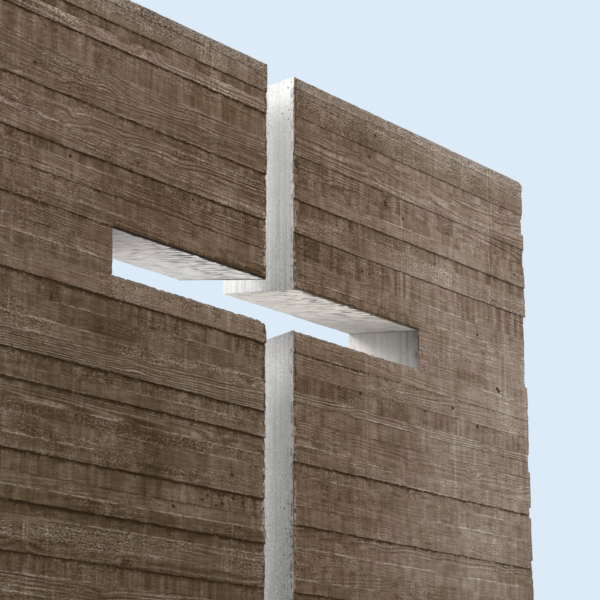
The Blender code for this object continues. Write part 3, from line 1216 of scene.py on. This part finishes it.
def concrete_material(pinholes, streaks):
    """Brown board-marked concrete: grain and saw marks of the boards, runs, pinholes, dirty joints."""
    material, tree, shader = new_material("board_marked_concrete", 0.9)
    place = add_node(tree, "ShaderNodeTexCoord").outputs["Object"]
    x, _, z = separated(tree, place)
    seed = attribute_value(tree, "board_seed")
    ridges, hollows = growth_rings(tree, place, x, seed)

    # Fibres, specks and blotches, busier in some places than in others
    busy = noise_value(tree, mapped(tree, place, (2.6, 2.6, 13.0), (0, 0, 3.0)), 1.0, 2.0)
    busy = smooth_range(tree, busy, 0.36, 0.64, 0.35, 1.45)
    fibres = uneven(tree, place, (13.0, 13.0, 125.0), 1.0, 3.0, 0.6)
    fibres = times(tree, fibres, busy)
    specks = uneven(tree, place, (75.0, 75.0, 165.0), 1.0, 2.0, 0.7)
    speck_term = times(tree, specks, plus(tree, attribute_value(tree, "grit"), 0.52))
    speck_term = times(tree, speck_term, busy)
    mottle = uneven(tree, place, (1.0, 1.0, 1.6), 2.4, 2.0)
    blotch = uneven(tree, place, (1.0, 1.0, 2.6), 11.0, 3.0, 0.6)

    # Saw marks across each board, and thin light runs down the wall
    board_shift = times(tree, seed, 3.7)
    saw_marks = streak_value(tree, streaks, place, 26.0, 0.06, board_shift)
    runs = smooth_range(tree, streak_value(tree, streaks, place, 62.0, 0.03, board_shift), 0.08, 0.18)
    long_runs = smooth_range(tree, streak_value(tree, streaks, place, 40.0, 0.008, 4.0), 0.10, 0.18)
    run_lines = total(tree, [(runs, 0.8), (long_runs, 1.0)])
    saw_term = times(tree, saw_marks, plus(tree, attribute_value(tree, "saw"), 0.15))

    # All of it as one value from dark to light, then as a colour
    value = total(
        tree,
        [
            (attribute_value(tree, "tone"), 1.0),
            # Lighter to the right and higher up: partly weathering, partly painted light
            (x, 0.018),
            (smooth_range(tree, x, 0.3, 1.8), 0.080),
            (z, 0.012),
            (mottle, 0.25),
            (blotch, 0.29),
            (saw_term, 0.70),
            (run_lines, 0.085),
            (ridges, 0.20),
            (hollows, -0.13),
            (fibres, 0.42),
            (speck_term, 0.85),
            (attribute_value(tree, "light"), 0.31),
            (attribute_value(tree, "knot"), -0.08),
        ],
    )
    value = plus(tree, value, 0.350, clamp=True)
    colour = colour_ramp(tree, value, CONCRETE_SHADES)
    hue = noise_value(tree, mapped(tree, place, (1.0, 1.0, 2.5)), 3.2, 3.0, 0.65)
    warm = smooth_range(tree, hue, 0.36, 0.64)
    tint = mix_colour(tree, "MIX", warm, OLIVE_TINT, ROSE_TINT)
    colour = mix_colour(tree, "MULTIPLY", 1.0, colour, tint)
    lower_left = times(tree, smooth_range(tree, z, 4.2, 3.4), smooth_range(tree, x, 0.2, -0.4))
    colour = mix_colour(tree, "MULTIPLY", lower_left, colour, LOWER_LEFT_TINT)
    faded = smooth_range(tree, x, 0.0, 1.6, 0.0, 0.10)
    brightness = add_node(tree, "ShaderNodeRGBToBW", None, {"Color": colour}).outputs["Val"]
    colour = mix_colour(tree, "MIX", faded, colour, brightness)

    # Greyer along the top
    crest = smooth_range(tree, plus(tree, z, specks), WALL_TOP - 0.08, WALL_TOP)
    crest = times(tree, crest, 0.40)
    grey = mix_colour(tree, "MIX", value, CREST_DARK, CREST_LIGHT)
    colour = mix_colour(tree, "MIX", crest, colour, grey)

    dark = dark_marks(tree, place, pinholes)
    # Dirt and painted shade of the joints, pinholes and holes, in one dark brown
    colour = mix_colour(tree, "MIX", dark, colour, JOINT_DIRT_AND_SHADE)
    height = total(
        tree,
        [
            (ridges, 0.9),
            (hollows, -0.6),
            (fibres, 0.7),
            (speck_term, 1.3),
            (dark, -1.2),
            (saw_term, 0.6),
        ],
    )
    dress(tree, shader, colour, 0.05, height, 0.8, 1.6 * MM)
    return material


def coat_material(pinholes, streaks):
    """White skim coat of the cross: faint board marks, grey runs, pinholes, brown at the arris."""
    material, tree, shader = new_material("white_skim_coat", 0.72)
    place = add_node(tree, "ShaderNodeTexCoord").outputs["Object"]
    grain = attribute_value(tree, "grain")
    seed = attribute_value(tree, "board_seed")
    ring = attribute_value(tree, "ring")
    _, y, _ = separated(tree, place)
    ring_place = combined(tree, ring, times(tree, y, 10.0), seed)
    lines = centred(tree, noise_value(tree, ring_place, 1.0, 1.5, 0.5))
    fine_lines = centred(tree, noise_value(tree, ring_place, 2.2, 2.0, 0.6))
    speckle = centred(tree, noise_value(tree, place, 120.0, 3.0, 0.7))
    speckle = times(tree, speckle, attribute_value(tree, "grit"))
    mottle = centred(tree, noise_value(tree, place, 7.0, 3.0))
    runs = streak_value(tree, streaks, place, 70.0, 0.03, 1.0)
    run_term = times(tree, runs, attribute_value(tree, "saw"))
    holes = pinhole_mask(tree, pinholes, place, 50.0, 0.22, 0.50)
    dash_term = times(tree, smooth_range(tree, lines, 0.0, -0.10), grain)
    glow_term = times(tree, smooth_range(tree, lines, 0.02, 0.17), grain)
    fine_term = times(tree, fine_lines, grain)
    value = total(
        tree,
        [
            (dash_term, -0.50),
            (glow_term, 0.24),
            (fine_term, 0.85),
            (run_term, 0.90),
            (speckle, 0.85),
            (mottle, 0.20),
            (attribute_value(tree, "tone"), 1.0),
        ],
    )
    value = plus(tree, value, 0.6, clamp=True)
    colour = colour_ramp(tree, value, COAT_SHADES)

    # Warmer or rosier where the side catches such light
    warmth = attribute_value(tree, "light")
    warm_white = mix_colour(tree, "MULTIPLY", 1.0, colour, WARM_LIGHT_TINT)
    rosy_white = mix_colour(tree, "MULTIPLY", 1.0, colour, ROSY_LIGHT_TINT)
    colour = mix_colour(tree, "MIX", smooth_range(tree, warmth, 0.0, 1.0), colour, warm_white)
    colour = mix_colour(tree, "MIX", smooth_range(tree, warmth, 0.0, -1.0), colour, rosy_white)

    # Bare brown concrete at the arris, then pinholes
    dirt_and_shade_level = attribute_value(tree, "dirt_and_shade")
    bare = plus(tree, dirt_and_shade_level, times(tree, speckle, 1.5))
    bare = smooth_range(tree, bare, 0.42, 0.62)
    brown = smooth_range(tree, plus(tree, speckle, mottle), -0.25, 0.25)
    brown = mix_colour(tree, "MIX", brown, BARE_DARK, BARE_LIGHT)
    black = smooth_range(tree, dirt_and_shade_level, 1.10, 1.40)
    brown = mix_colour(tree, "MIX", black, brown, BARE_BLACK)
    colour = mix_colour(tree, "MIX", bare, colour, brown)
    holes = times(tree, holes, attribute_value(tree, "knot"))
    hole_share = times(tree, holes, 0.85)
    colour = mix_colour(tree, "MIX", hole_share, colour, PINHOLE_GREY)
    height = total(
        tree,
        [
            (dash_term, -0.5),
            (glow_term, 0.3),
            (fine_term, 0.6),
            (speckle, 0.8),
            (run_term, 0.3),
            (holes, -0.9),
        ],
    )
    dress(tree, shader, colour, 0.35, height, 0.5, 3.0 * MM)
    return material


POUR_HEIGHTS = sorted({round(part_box(n)[0][2], 3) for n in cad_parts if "_pour" in n})


def edges_with(lowest, hand_courses, seed):
    """All edges of one half from its foot to the top: unseen courses below, then the given ones."""
    seen = sorted(course[0] for course in hand_courses)
    unseen = []
    pours = [z for z in POUR_HEIGHTS if lowest < z < seen[0] - LEAST_COURSE]
    start = lowest
    for stop in pours + [seen[0]]:
        unseen += filler_edges(start, stop, seed + len(unseen))
        start = stop
    return unseen + seen + [WALL_TOP]


def top_and_end_shape(free_ends, is_top):
    """Shapes the faces between front and back: the trowelled top and the coursed end of the wall."""

    def shape(side, place, look):
        place = place.copy()
        look = look.copy()
        x, y, z = place.T
        if side in free_ends:
            place[:, 0] = x - np.sign(x) * 1.2 * MM * (1 + rough(y * 12, z * 60, 71))
            look[:, SAW] *= 0.5
            look[:, LIGHT] *= 0.35 * noise(y * 30, z * 40, 64)
            look[:, DIRT_AND_SHADE] *= 0.4 + 0.6 * noise(y * 22, z * 40, 75)
        if side == TOP and is_top:
            crown = 2.5 * MM * (1 + rough(x * 9, y * 9, 72)) + 2 * MM * noise(x * 45, y * 45, 73)
            place[:, 2] = np.minimum(z, WALL_TOP - crown)
            look[:, GRAIN] = 0.0
            look[:, SAW] = 0.1
            look[:, TONE] = 0.06
            look[:, DIRT_AND_SHADE] *= 0.3
        return place, look

    return shape


def make_section(label, nodes, marks, holes, edges, known, material):
    """All the blocks of one section of the wall. Returns its marked front.

    Marks, holes and edges are pairs: those of the front and those of the back.
    """
    front_edges, back_edges = edges
    seed = SECTION_SEEDS[label]
    front_courses = Courses(front_edges, seed, known)
    back_courses = Courses(back_edges, seed + 50)

    # A course of the back ends where the course of the front at its height does
    last = len(front_edges) - 2
    level = [min(np.searchsorted(front_edges, edge + MM) - 1, last) for edge in back_edges[:-1]]
    back_courses.end = front_courses.end[level]
    front = Face(front_courses, marks[0], holes[0], (ROW_STEP, LOWER_ROW_STEP), COLUMN_STEP, False)
    back = Face(back_courses, marks[1], holes[1], (BACK_ROW_STEP,) * 2, BACK_COLUMN_STEP, True)
    for node in nodes:
        front_outline, back_outline = corners_of(node)
        skip = 1 if front_outline[3] > DETAIL_FLOOR + 0.3 else 2
        block = Block(node + "_marked")
        front_chains = block.add_grid(*front.cut(front_outline, skip), False)
        back_chains = block.add_grid(*back.cut(back_outline), True)
        is_top = abs(front_outline[3] - WALL_TOP) < MM

        # The loops keep the step at each joint between two courses
        keeps = []
        for chain in front_chains:
            heights = np.concatenate(block.points)[chain][:, 2]
            keeps.append(np.abs(np.gradient(heights)) < 1.7 * LIP)
        keeps[BOTTOM][:] = False
        keeps[TOP][:] = False
        spacings = [WIDE_STEP] * 4
        if is_top:
            spacings[TOP] = TOP_STEP
        for side in FREE_ENDS[label]:
            spacings[side] = END_STEP
        shape = top_and_end_shape(FREE_ENDS[label], is_top)
        block.close(front_chains, back_chains, spacings, keeps, shape)
        block.make(material, node)
    return front


def reveal_grid(corners, depth_step=None):
    """Points over a four-cornered side of the cross, closer together towards its front arris.

    Without a depth step it has points on its front and back border only. Below the photograph its
    steps are longer.
    """
    a, b, c, d = (np.array(corner, float) for corner in corners)
    long_side = np.linalg.norm(b - a)
    count = max(2, int(round(long_side / COAT_STEP)))
    s = np.linspace(0, 1, count + 1)
    if a[2] < DETAIL_FLOOR < b[2]:
        split = (DETAIL_FLOOR - a[2]) / (b[2] - a[2])
        low_count = int(round(split * long_side / (3 * COAT_STEP)))
        high_count = int(round((1 - split) * long_side / COAT_STEP))
        low_part = np.linspace(0, split, low_count + 1)[:-1]
        s = np.concatenate([low_part, np.linspace(split, 1, high_count + 1)])
    t = np.linspace(0, 1, 2)
    if depth_step:
        length = np.linalg.norm(d - a)
        t = graded(0, length, 1.5 * MM, depth_step) / length
    s, t = (grid[..., None] for grid in np.meshgrid(s, t))
    return (a * (1 - s) + b * s) * (1 - t) + (d * (1 - s) + c * s) * t


def lining_sides(node):
    """The seen side of a coat and its hidden side, each as four corners.

    The corners run along the side's length on the front face, then back along the back face.
    """
    (fx0, fx1, fz0, fz1), (bx0, bx1, bz0, bz1) = corners_of(node)
    y = HALF_THICKNESS
    low_x = [(fx0, -y, fz0), (fx0, -y, fz1), (bx0, y, bz1), (bx0, y, bz0)]
    high_x = [(fx1, -y, fz0), (fx1, -y, fz1), (bx1, y, bz1), (bx1, y, bz0)]
    low_z = [(fx0, -y, fz0), (fx1, -y, fz0), (bx1, y, bz0), (bx0, y, bz0)]
    high_z = [(fx0, -y, fz1), (fx1, -y, fz1), (bx1, y, bz1), (bx0, y, bz1)]
    if "soffit" in node:
        return low_z, high_z, (0, 0, 1)
    if "sill" in node:
        return high_z, low_z, (0, 0, -1)
    if node.startswith("left"):
        return high_x, low_x, (-1, 0, 0)
    return low_x, high_x, (1, 0, 0)


def front_depth_at(face, x, z):
    """How deep the marked front lies next to a point of the cross's outline."""
    column = np.abs(face.columns[None, :] - np.atleast_1d(x)[:, None]).argmin(axis=1)
    row = np.abs(face.rows[None, :] - np.atleast_1d(z)[:, None]).argmin(axis=1)
    return face.depth[row, column]


# Tone of the slit's sides by height, partly painted light and shade and partly grey staining: lighter
# high up, where more sky reaches; and how much darker, in painted shade, their front is than their back
SLIT_HEIGHTS = (2.64, 3.61, 3.81, 4.13, 4.48, 4.68, 5.20)
SLIT_PAINTED_LIGHT_AND_STAIN_TONES = (-0.24, -0.11, -0.22, -0.20, -0.05, -0.02, 0.00)
SLIT_PAINTED_SHADE_FALLS = (0.62, 0.35, 0.45, 0.22, 0.20, -0.05, -0.25)


def slit_looks(z, from_front, seed):
    """A side of the slit: its tone goes by height with painted light and shade, its front is darker with
    painted shade, with runs high up and pinholes at its foot and top.
    """
    through = np.minimum(from_front / (2 * HALF_THICKNESS), 0.78)
    # Painted shade: darker towards the front, lighter towards the back where more light comes through
    painted_front_shade = np.interp(z, SLIT_HEIGHTS, SLIT_PAINTED_SHADE_FALLS) * (through - 0.2)
    return {
        "ring": from_front * 85 + 1.4 * rough(z * 1.3, from_front * 5, seed + 3),
        "tone": np.interp(z, SLIT_HEIGHTS, SLIT_PAINTED_LIGHT_AND_STAIN_TONES) + painted_front_shade,
        "grain": 0.07 + 0.03 * ramp(z, 3.4, 4.1),
        "saw": (0.12 + 0.42 * ramp(z, 5.05, 4.4)) * (0.6 + 0.4 * ramp(z, 3.9, 4.1)),
        "knot": 0.15 + 0.85 * ramp(z, 3.9, 3.0) + 0.75 * ramp(z, 4.7, 4.9),
        "grit": 0.75 + 0.4 * ramp(z, 3.4, 2.9),
    }


def arm_end_looks(z, from_front, seed):
    """The side at the end of an arm: painted shade at its front and at its top, where the soffit and the
    front keep the light from behind off it, with two dark upright lines.
    """
    above = (z - z.min()) / (z.max() - z.min())
    # Painted shade: darker towards the top and towards the front
    tone = 0.22 - 0.34 * above * above - 0.66 * np.exp(-from_front / 0.16)
    for line, amount in ((0.135, 0.20), (0.085, 0.16)):
        tone = tone - amount * np.exp(-(((from_front - line) / 0.005) ** 2))
    return {
        "ring": from_front * 60 + 0.5 * rough(z * 1.3, from_front * 5, seed + 3),
        "light": 0.2 + 0.6 * above,
        "tone": tone,
        "grain": 0.06,
        "saw": 0.2,
        "knot": 0.4,
        "grit": 0.35,
    }


def level_looks(node, x, from_front, boards, seed):
    """A soffit or sill: board marks at the front, brighter near the slit, rosy along the left arm."""
    from_slit = np.abs(x) - SLIT_HALF_WIDTH
    near_slit = ramp(from_slit, 0.88, 0.55)
    ring = x * 44 + 1.4 * rough(x * 5, from_front * 4, seed + 3) + from_front * 4
    ring = ring + 0.7 * rough(x * 3, from_front * 14, seed + 8)
    grain = 0.22 + 1.45 * np.exp(-from_front / 0.17) * near_slit
    tone = 0.03 * (2 * scatter(boards, 5, seed) - 1) + 0.25 * near_slit - 0.12
    warmth = 0.65
    if node.startswith("left"):
        tone = tone - 0.05
        warmth = 0.3 - 1.2 * np.exp(-(((from_slit - 0.72) / 0.24) ** 2))
    return {
        "ring": ring,
        "light": warmth,
        "tone": tone,
        "grain": grain * (1.0 if "soffit" in node else 0.45),
        "saw": 0.2,
        "knot": 0.4,
        "grit": 0.6,
    }


def make_coat(node, face, material, seed):
    """A thin coat on one side of the cross, from its own four corners."""
    seen, hidden, inward = lining_sides(node)
    points = reveal_grid(seen, COAT_DEPTH_STEP)
    back_points = reveal_grid(hidden)
    upright = bool(abs(inward[0]))
    inward = np.array(inward, float)
    x, y, z = np.moveaxis(points, -1, 0)
    along = z if upright else x
    from_front = y + HALF_THICKNESS
    near_front = np.exp(-from_front / 0.022)

    # The coat follows the marked face at the front arris, and is rougher there
    border = front_depth_at(face, x[0], z[0])
    lip = border + arris_depth(x[0], z[0], 2)
    y = y + lip[None, :] * np.exp(-from_front / 0.03)
    spots = ramp(noise(along * 55, from_front * 70, seed + 1), 0.5, 0.9)
    wavy = 0.8 * MM * (1 + rough(along * 6, from_front * 9, seed))
    pitted = 2.4 * MM * near_front * spots
    chips = ramp(noise(along * 38, 0.5, seed + 2), 0.5, 0.9)
    chips = chips + 0.6 * ramp(noise(along * 85, 0.5, seed + 6), 0.5, 0.9)
    chipped = 3.0 * MM * np.exp(-((from_front / 0.007) ** 2)) * chips
    boards = np.floor(along / SOFFIT_BOARD + 0.3 * seed).astype(np.int64)
    step = 1.2 * MM * scatter(boards, 3, seed)
    recess = np.clip(wavy + pitted + chipped + step * (not upright), 0.1 * MM, 7 * MM)
    points = np.stack([x, y, z], axis=-1) + recess[..., None] * inward
    back_points[0, :, 1] += border

    if "slit_lining" in node:
        values = slit_looks(z, from_front, seed)
    elif upright:
        values = arm_end_looks(z, from_front, seed)
    else:
        values = level_looks(node, x, from_front, boards, seed)
    if upright:
        scars = ramp(noise(along * 60, from_front * 80, seed + 7), 0.50, 0.68)
        scars = 0.34 * scars * np.exp(-(((from_front - 0.010) / 0.009) ** 2))
        # A painted highlight along the front arris, partly the coat wrapped round its rounded edge; scars
        # darken the coat just behind it
        values["tone"] = values["tone"] - scars + 0.22 * np.exp(-((from_front / (6 * MM)) ** 2))

    # Brown concrete shows along the front arris, furthest on the soffits
    reach = (6.0 if "soffit" in node else 1.6) * MM * (0.4 + 1.1 * noise(along * 42, 0.7, seed + 4))
    bleed = np.exp(-((from_front / reach) ** 2)) + 0.35 * near_front * noise(along * 12, 0.7, seed + 5)
    values["dirt_and_shade"] = bleed * (1.5 if node == "left_arm_soffit_lining" else 1.0)
    values["board_seed"] = seed
    looks = stacked_looks(values, x.shape)

    # Turns the faces outwards
    if np.dot(np.cross(points[0, 1] - points[0, 0], points[1, 0] - points[0, 0]), inward) > 0:
        points = points[:, ::-1]
        looks = looks[:, ::-1]
        back_points = back_points[:, ::-1]
    block = Block(node + "_coat")
    front_chains = block.add_grid(points, looks, False)
    back_chains = block.add_grid(back_points, looks[[0, -1]], True)
    block.close_directly(front_chains, back_chains)
    block.make(material, node)


def half_outline(label, face):
    """Marks along x and the outline of the cross, for one half's front (face 0) or back (face 1)."""
    sign = -1 if label == "left" else 1
    sill = corners_of(label + "_arm_sill_block")[face]
    head = corners_of(label + "_arm_head_block")[face]
    slit, arm = sorted((abs(sill[0]), abs(sill[1])))
    return sorted([sign * HALF_WIDTH, sign * arm, sign * slit]), (slit, arm, sill[3], head[2])


def make_half(label, known, material):
    """The blocks of the left or right half. Returns its marked front."""
    marks, hole = half_outline(label, 0)
    back_marks, back_hole = half_outline(label, 1)
    edges = edges_with(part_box(label + "_pour_1")[0][2], known, SECTION_SEEDS[label])
    for arm_edge in hole[2:]:
        edges = [arm_edge if abs(edge - arm_edge) < 2 * MM else edge for edge in edges]

    # On the back the courses are cut at the wider cross, and only pour joints may lie close to it
    pours = {round(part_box(n)[0][2], 3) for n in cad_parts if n.startswith(label) and "_pour" in n}
    low_cut, high_cut = back_hole[2:]
    back_edges = [low_cut, high_cut]
    for edge in edges:
        clear = min(abs(edge - low_cut), abs(edge - high_cut)) > ARM_CLEARANCE
        if (clear or round(edge, 3) in pours) and not low_cut < edge < high_cut:
            back_edges.append(edge)
    nodes = [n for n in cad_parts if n.startswith(label) and "lining" not in n]
    both_edges = (edges, sorted(back_edges))
    return make_section(label, nodes, (marks, back_marks), (hole, back_hole), both_edges, known, material)


def make_wall():
    pinholes = pinhole_group()
    streaks = streak_group()
    concrete = concrete_material(pinholes, streaks)
    coat = coat_material(pinholes, streaks)
    faces = {
        "left": make_half("left", LEFT_COURSES, concrete),
        "right": make_half("right", RIGHT_COURSES, concrete),
    }
    width = [-HALF_WIDTH, HALF_WIDTH]
    base_edges = [*BASE_JOINTS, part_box("base_pour")[1][2]]
    make_section("base", ["base_pour"], (width,) * 2, (None,) * 2, (base_edges,) * 2, (), concrete)
    coated = sorted(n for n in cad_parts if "lining" in n or n == "slit_foot_sill")
    for number, node in enumerate(coated):
        side = "left" if node.startswith("left") else "right"
        make_coat(node, faces[side], coat, FIRST_COAT_SEED + number)


def make_stage():
    """A plain pale floor under a plain pale sky, with soft light."""
    scene = bpy.context.scene
    scene.view_settings.view_transform = "Standard"
    bpy.ops.mesh.primitive_plane_add(size=60, location=(0, 0, 0))
    floor = bpy.context.object
    floor.name = "floor"
    material, _, shader = new_material("pale_floor", 0.9)
    shader.inputs["Base Color"].default_value = FLOOR_GREY
    floor.data.materials.append(material)

    world = bpy.data.worlds.new("soft_sky")
    scene.world = world
    world.use_nodes = True
    tree = world.node_tree
    tree.nodes.clear()
    output = tree.nodes.new("ShaderNodeOutputWorld")
    heading = add_node(tree, "ShaderNodeTexCoord").outputs["Generated"]
    _, _, steepness = separated(tree, heading)
    strength = smooth_range(tree, steepness, -0.1, 0.9, 0.45, 1.25)
    kind = "ShaderNodeBackground"
    light = add_node(tree, kind, None, {"Color": SKY_WHITE, "Strength": strength})
    shown = add_node(tree, kind, None, {"Color": SKY_BLUE, "Strength": 1.0})
    path = tree.nodes.new("ShaderNodeLightPath")
    mix = tree.nodes.new("ShaderNodeMixShader")
    tree.links.new(path.outputs["Is Camera Ray"], mix.inputs["Fac"])
    tree.links.new(light.outputs["Background"], mix.inputs[1])
    tree.links.new(shown.outputs["Background"], mix.inputs[2])
    tree.links.new(mix.outputs["Shader"], output.inputs["Surface"])


# The lamps: name, place, the point it is turned to, size, power
LAMPS = (
    ("high_light", (2.5, -3.2, 9.5), (0.5, 0, 3.5), 4.0, 420.0),
    ("back_light", (-4.5, 4.8, 7.6), (0.5, 0, 4.0), 2.5, 430.0),
)


def add_area_light(name, place, target, size, power):
    data = bpy.data.lights.new(name, "AREA")
    data.shape = "DISK"
    data.size = size
    data.energy = power
    lamp = bpy.data.objects.new(name, data)
    bpy.context.scene.collection.objects.link(lamp)
    lamp.location = place
    direction = np.array(target, float) - np.array(place, float)
    lamp.rotation_euler = look_rotation(direction)


def look_rotation(direction):
    return Vector(direction).to_track_quat("-Z", "Y").to_euler()


# The photograph's camera, fitted to the outline of the cross and the wall
CAMERA_PLACE = (-6.941, -5.781, 1.689)
CAMERA_YAW = math.radians(38.003)
CAMERA_PITCH = math.radians(14.933)
CAMERA_LENS = 118.3
SENSOR = 36.0


def make_camera():
    data = bpy.data.cameras.new("camera")
    data.sensor_width = SENSOR
    data.lens = CAMERA_LENS
    camera = bpy.data.objects.new("camera", data)
    bpy.context.scene.collection.objects.link(camera)
    camera.location = CAMERA_PLACE
    flat = math.cos(CAMERA_PITCH)
    direction = (flat * math.cos(CAMERA_YAW), flat * math.sin(CAMERA_YAW), math.sin(CAMERA_PITCH))
    camera.rotation_euler = look_rotation(direction)
    bpy.context.scene.camera = camera


make_camera()
make_wall()
make_stage()
for lamp in LAMPS:
    add_area_light(*lamp)
